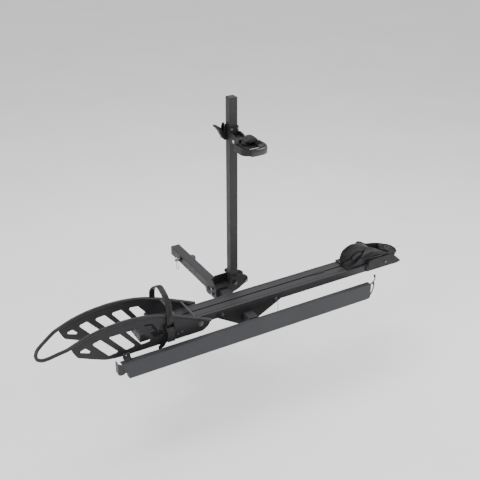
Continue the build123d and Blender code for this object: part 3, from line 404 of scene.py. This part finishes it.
# ------------------------------------------------------------------ rear cradle
HOOD = [(577.5, 88), (582.5, 110), (600.5, 138.5), (634, 160.5), (672, 170), (708, 165.2), (742, 149)]
NS, NT = 120, 97
hp = catmull([(x, 0, z) for x, z in HOOD], NS)
bm = bmesh.new()
rows = []
for i, p in enumerate(hp):
    s = i / (NS - 1)
    t = (hp[min(NS - 1, i + 1)] - hp[max(0, i - 1)]).normalized()
    nin = Vector((t.z, 0, -t.x))          # into the hood
    w = lerp(13.5, 35.4, smooth(0.0, 0.34, s) ** 0.75)
    deep = lerp(7.0, 38.0, smooth(0.0, 0.42, s)) * (1 - 0.25 * smooth(0.8, 1.0, s))
    crown = lerp(6.0, 13.0, smooth(0.0, 0.3, s))
    row = []
    for j in range(NT):
        a = -1 + 2 * j / (NT - 1)
        c = abs(a)
        # cheeks take the outer fifth on each side, the crown the rest
        if c > 0.74:
            k = (c - 0.74) / 0.26
            y, d, rib = w - 0.6 * k, lerp(crown, max(deep, crown + 1), k), 0.0
        else:
            u = c / 0.74
            ang = u * math.pi / 2
            y = w * (math.sin(ang) ** 0.86 if u > 0 else 0)
            d = crown * (1 - math.cos(ang) ** 0.95)
            band = smooth(0.04, 0.10, s) * (1 - smooth(0.60, 0.70, s)) * (1 - smooth(0.84, 0.93, u))
            ph = (y / 6.4) % 1.0
            rib = band * 3.0 * (smooth(0.08, 0.22, ph) - smooth(0.58, 0.76, ph))
        yy = TY + (-y if a < 0 else y)
        row.append(p + nin * (d + 2.2 - rib) + Vector((0, yy, 0)))
    rows.append(row)
sheet_mesh(bm, rows)
finish(bm, "cradle_hood", M["plastic_hood"], "rear_holder", ["rear_cradle"], thick=0.0042, bevel=0, sharp=42, offset=-1.0)


def arm_y(z):
    """Outer face of the near arm, millimetres from the tray's centre line."""
    return along([(78, -52), (116, -52), (126, -50.6), (136, -46.6), (146, -42), (156, -38), (166, -36), (184, -34.2)], z)


TOPN = [(602, 84), (608, 88.5), (640, 106), (664, 124), (678, 136), (690, 147), (702, 158), (712, 163.5), (722, 164), (734, 159.5), (746, 153.5), (766, 145), (790, 133), (815, 118), (832, 109.5), (846, 103), (862, 100), (880, 97.5)]
WALL = [(602, 84), (640, 105), (662, 119), (700, 113), (740, 107), (780, 101.5), (806, 99), (880, 97)]
ARCH = [(602, 84), (640, 105), (662, 119.2), (680, 126.5), (694, 130.5), (710, 133.5), (726, 134.8), (742, 133.2), (756, 129.5), (770, 123.5), (784, 115), (796, 106), (806, 99.2), (880, 97)]
bm = bmesh.new()
xs = [602 + 2.5 * i for i in range(112)]


def soft(tab, x, r):
    return 0.25 * along(tab, x - r) + 0.5 * along(tab, x) + 0.25 * along(tab, x + r)


upper, lower = [], []
for x in xs:
    zt = soft(TOPN, x, 4)
    zw = min(soft(WALL, x, 2), zt - 0.4)
    za = min(max(soft(ARCH, x, 2), zw), zt - 0.3)
    if za - zw < 0.8:
        za = zw
    col = []
    for j in range(15):
        z = lerp(za, zt, j / 14)
        lip = 1.5 * smooth(zt - 7, zt, z) if x > 745 else 0.0
        col.append((x, TY + arm_y(z) + lip * 0.6 - 0.0, z))
    upper.append(col)
    lower.append([(x, TY + arm_y(lerp(80.2, zw, j / 6)), lerp(80.2, zw, j / 6)) for j in range(7)])
sheet_mesh(bm, upper)
sheet_mesh(bm, lower)
finish(bm, "cradle_arm", M["plastic_hood"], "rear_holder", [], thick=0.0044, bevel=0.0008, sharp=40, offset=-1.0)

# far wall and bowl round the end, one strip with a rolled rim
PLAN = [(704, 49.6), (740, 49.8), (780, 49.8), (820, 49.6), (856, 49.0), (882, 45.5), (899, 34), (908, 16), (910.5, -4), (907, -22), (899, -38), (888, -47), (874, -51.4)]
TOPF = [(704, 144), (716, 156), (726, 155), (742, 148), (758, 138), (774, 128), (800, 124), (831, 117.5), (852, 112), (869, 107), (890, 99)]
pp = catmull([(x, y, 0) for x, y in PLAN], 140)
bm = bmesh.new()
rows = []
rims = []
for i, p in enumerate(pp):
    s = i / 139
    zt = soft(TOPF, p.x, 4) if p.y > 40 else lerp(99.5, 97.0, smooth(40, -50, p.y))
    t = (pp[min(139, i + 1)] - pp[max(0, i - 1)]).normalized()
    outw = Vector((-t.y, t.x, 0))
    col = []
    for j in range(15):
        z = lerp(80.2, zt, j / 14)
        flare = 1.6 * smooth(zt - 7, zt, z) - 3.0 * (1 - (z - 80.2) / max(1, zt - 80.2)) * smooth(0.45, 0.6, s)
        q = p + outw * flare
        col.append((q.x, TY + q.y, z))
    rows.append(col)
    rims.append((p, outw, zt))
sheet_mesh(bm, rows)
for f in [f for f in bm.faces if f.calc_center_median().y * 1000 > TY + 44 and ((f.calc_center_median().x * 1000 - 823) / 14.5) ** 2 + ((f.calc_center_median().z * 1000 - 92.5) / 6.4) ** 2 < 1]:
    bm.faces.remove(f)
finish(bm, "cradle_bowl", M["plastic_hood"], "rear_holder", [], thick=0.0044, bevel=0.0008, sharp=40, offset=1.0)

# sloping inner face of the bowl, round the end only
bm = bmesh.new()
rows = []
for k, (p, outw, zt) in enumerate(rims):
    if not (p.x > 846):
        continue
    g = smooth(846, 872, p.x)
    depth = 26.0 * g + 3
    row = []
    for j in range(13):
        f = j / 12
        q = p - outw * (3.5 + depth * f)
        row.append((q.x, TY + q.y, lerp(zt - 3.0, 83.0, f ** 0.75)))
    rows.append(row)
sheet_mesh(bm, rows)
for cx, cy in ((874, 38), (893, 22), (897, 2), (890, -20)):
    for f in [f for f in bm.faces if ((f.calc_center_median().x * 1000 - cx) / 3.0) ** 2 + ((f.calc_center_median().y * 1000 - TY - cy) / 3.6) ** 2 < 1]:
        bm.faces.remove(f)
finish(bm, "cradle_bowl_floor", M["plastic_hood"], "rear_holder", [], thick=0.0024, bevel=0.0005, sharp=40, offset=-1.0)

# webs from the hood's back edge across to the far wall and to the near arm
for nm, sg, x0, zt, ys in (("cradle_web", 1, 702, [(702, 157), (716, 158), (744, 147)], (24, 32, 38, 44, 49.4)), ("cradle_shoulder", -1, 690, [(690, 156), (704, 160.5), (722, 161), (744, 150)], (24, 28, 32, 36))):
    bm = bmesh.new()
    rows = []
    for i in range(21):
        x = lerp(x0, 744, i / 20)
        z = along(zt, x)
        rows.append([(x, TY + sg * y, z - 3.4 - 3.5 * smooth(ys[0] + 4, ys[-1], y)) for y in ys])
    sheet_mesh(bm, rows)
    finish(bm, nm, M["plastic_hood"], "rear_holder", [], thick=0.0035, bevel=0.0006, sharp=40, offset=-1.0)

# ------------------------------------------------------------------ glossy sleeve on the clamp's hook, bulged and lipped
SL = catmull([(57, -583.5, 0), (72, -585.6, 0), (92, -586.4, 0), (112, -585.4, 0), (129, -581.5, 0), (142, -572.5, 0), (148.6, -558, 0), (150.2, -538, 0), (149.6, -508.5, 0)], 90)
bm = bmesh.new()
rows = []
for i, p in enumerate(SL):
    t = (SL[min(89, i + 1)] - SL[max(0, i - 1)]).normalized()
    outw = Vector((t.y, -t.x, 0))
    e = 1 - 0.5 * (1 - smooth(0, 0.05, i / 89)) - 0.35 * smooth(0.93, 1.0, i / 89)
    ring = []
    for (o, z) in ((0.0, 765.2), (2.2, 764.2), (3.8, 765.6), (4.3, 768.5), (4.4, 773), (4.55, 780), (4.4, 787), (3.9, 792.5), (2.9, 796.6), (1.4, 798.6), (0.0, 798.6), (-0.2, 790), (-0.2, 775)):
        ring.append(p + outw * (o * e - 0.2 * 0) + Vector((0, 0, 782 + (z - 782) * (0.97 + 0.03 * e))))
    rows.append(ring)
V = sheet_mesh(bm, rows, closed=True)
cap(bm, V[0][::-1])
cap(bm, V[-1])
finish(bm, "hook_sleeve_gloss", M["gloss"], "clamp", ["clamp_hook_sleeve"], bevel=0, sharp=38)

# ------------------------------------------------------------------ ribbed lever on the mast clamp
prof = catmull([(119.5, 0, 808), (119, 0, 819), (109, 0, 832), (89, 0, 841.5), (68, 0, 838.5), (52, 0, 827), (43.5, 0, 812)], 76)
bm = bmesh.new()
rows = []
yc, wv = -529.0, 23.2
for i, p in enumerate(prof):
    s = i / 75
    t = (prof[min(75, i + 1)] - prof[max(0, i - 1)]).normalized()
    nin = Vector((-t.z, 0, t.x)) if t.x < 0 else Vector((-t.z, 0, t.x))
    cen = Vector((82, 0, 806)) - p
    if nin.dot(cen) < 0:
        nin = -nin
    w = wv * lerp(0.78, 1.0, smooth(0, 0.25, s)) * lerp(1.0, 0.66, smooth(0.72, 1.0, s))
    row = []
    for j in range(71):
        a = -1 + 2 * j / 70
        c = abs(a)
        if c > 0.78:
            k = (c - 0.78) / 0.22
            y, d, rib = w, lerp(6.0, 15.0 * smooth(0, 0.2, s) * (1 - 0.5 * smooth(0.75, 1, s)) + 6.5, k), 0.0
        else:
            u = c / 0.78
            an = u * math.pi / 2
            y, d = w * math.sin(an) ** 0.85 if u > 0 else 0.0, 6.0 * (1 - math.cos(an) ** 0.9)
            band = smooth(0.30, 0.38, s) * (1 - smooth(0.86, 0.93, s)) * (1 - smooth(0.82, 0.92, u))
            ph = (y / 4.2) % 1.0
            rib = band * 1.2 * (smooth(0.08, 0.25, ph) - smooth(0.6, 0.77, ph))
        row.append(p + nin * (d + 1.3 - rib) + Vector((0, yc + (-y if a < 0 else y), 0)))
    rows.append(row)
sheet_mesh(bm, rows)
finish(bm, "clamp_lever_shell", M["plastic_hood"], "clamp_ratchet_lever", ["clamp_ratchet_lever"], thick=0.003, bevel=0, sharp=42, offset=-1.0)

# ------------------------------------------------------------------ stage
bpy.ops.mesh.primitive_plane_add(size=40, location=(0, 0, -0.42))
floor = bpy.context.object
floor.name = "floor"
fm, nt, b, v = new_mat("floor_paint")
nt.links.new(ramp(nt, noise(nt, v, 1.2, 4.0), [(0.3, (0.90, 0.90, 0.90)), (0.7, (0.94, 0.94, 0.94))]), b.inputs["Base Color"])
nt.links.new(maprange(nt, noise(nt, v, 5.0, 3.0), 0.3, 0.7, 0.75, 0.9), b.inputs["Roughness"])
floor.data.materials.append(fm)

w = bpy.data.worlds.new("studio")
bpy.context.scene.world = w
w.use_nodes = True
w.node_tree.nodes["Background"].inputs[0].default_value = (1, 1, 1, 1)
w.node_tree.nodes["Background"].inputs[1].default_value = 0.9


def area(name, loc, target, size, power):
    l = bpy.data.lights.new(name, "AREA")
    l.shape = "RECTANGLE"
    l.size, l.size_y = size
    l.energy = power
    o = bpy.data.objects.new(name, l)
    bpy.context.scene.collection.objects.link(o)
    o.location = loc
    o.rotation_euler = (Vector(target) - Vector(loc)).to_track_quat("-Z", "Y").to_euler()
    return o


area("key", (-2.2, -1.6, 3.0), (0, -0.5, 0.1), (2.4, 1.6), 62)
area("fill", (2.6, -3.0, 1.6), (0, -0.5, 0.2), (2.2, 2.2), 72)
area("top", (0.3, 0.4, 3.4), (0, -0.5, 0.0), (3.0, 2.0), 90)

cd = bpy.data.cameras.new("photo_cam")
cam = bpy.data.objects.new("photo_cam", cd)
bpy.context.scene.collection.objects.link(cam)
cam.location = (-1.5969, -3.3528, 2.0636)
e = math.radians(27.85)
fw = Vector((math.sin(math.radians(30)) * math.cos(e), math.cos(math.radians(30)) * math.cos(e), -math.sin(e)))
cam.rotation_euler = fw.to_track_quat("-Z", "Y").to_euler()
cd.lens = 60
cd.sensor_width = 36
cd.clip_end = 100
bpy.context.scene.camera = cam
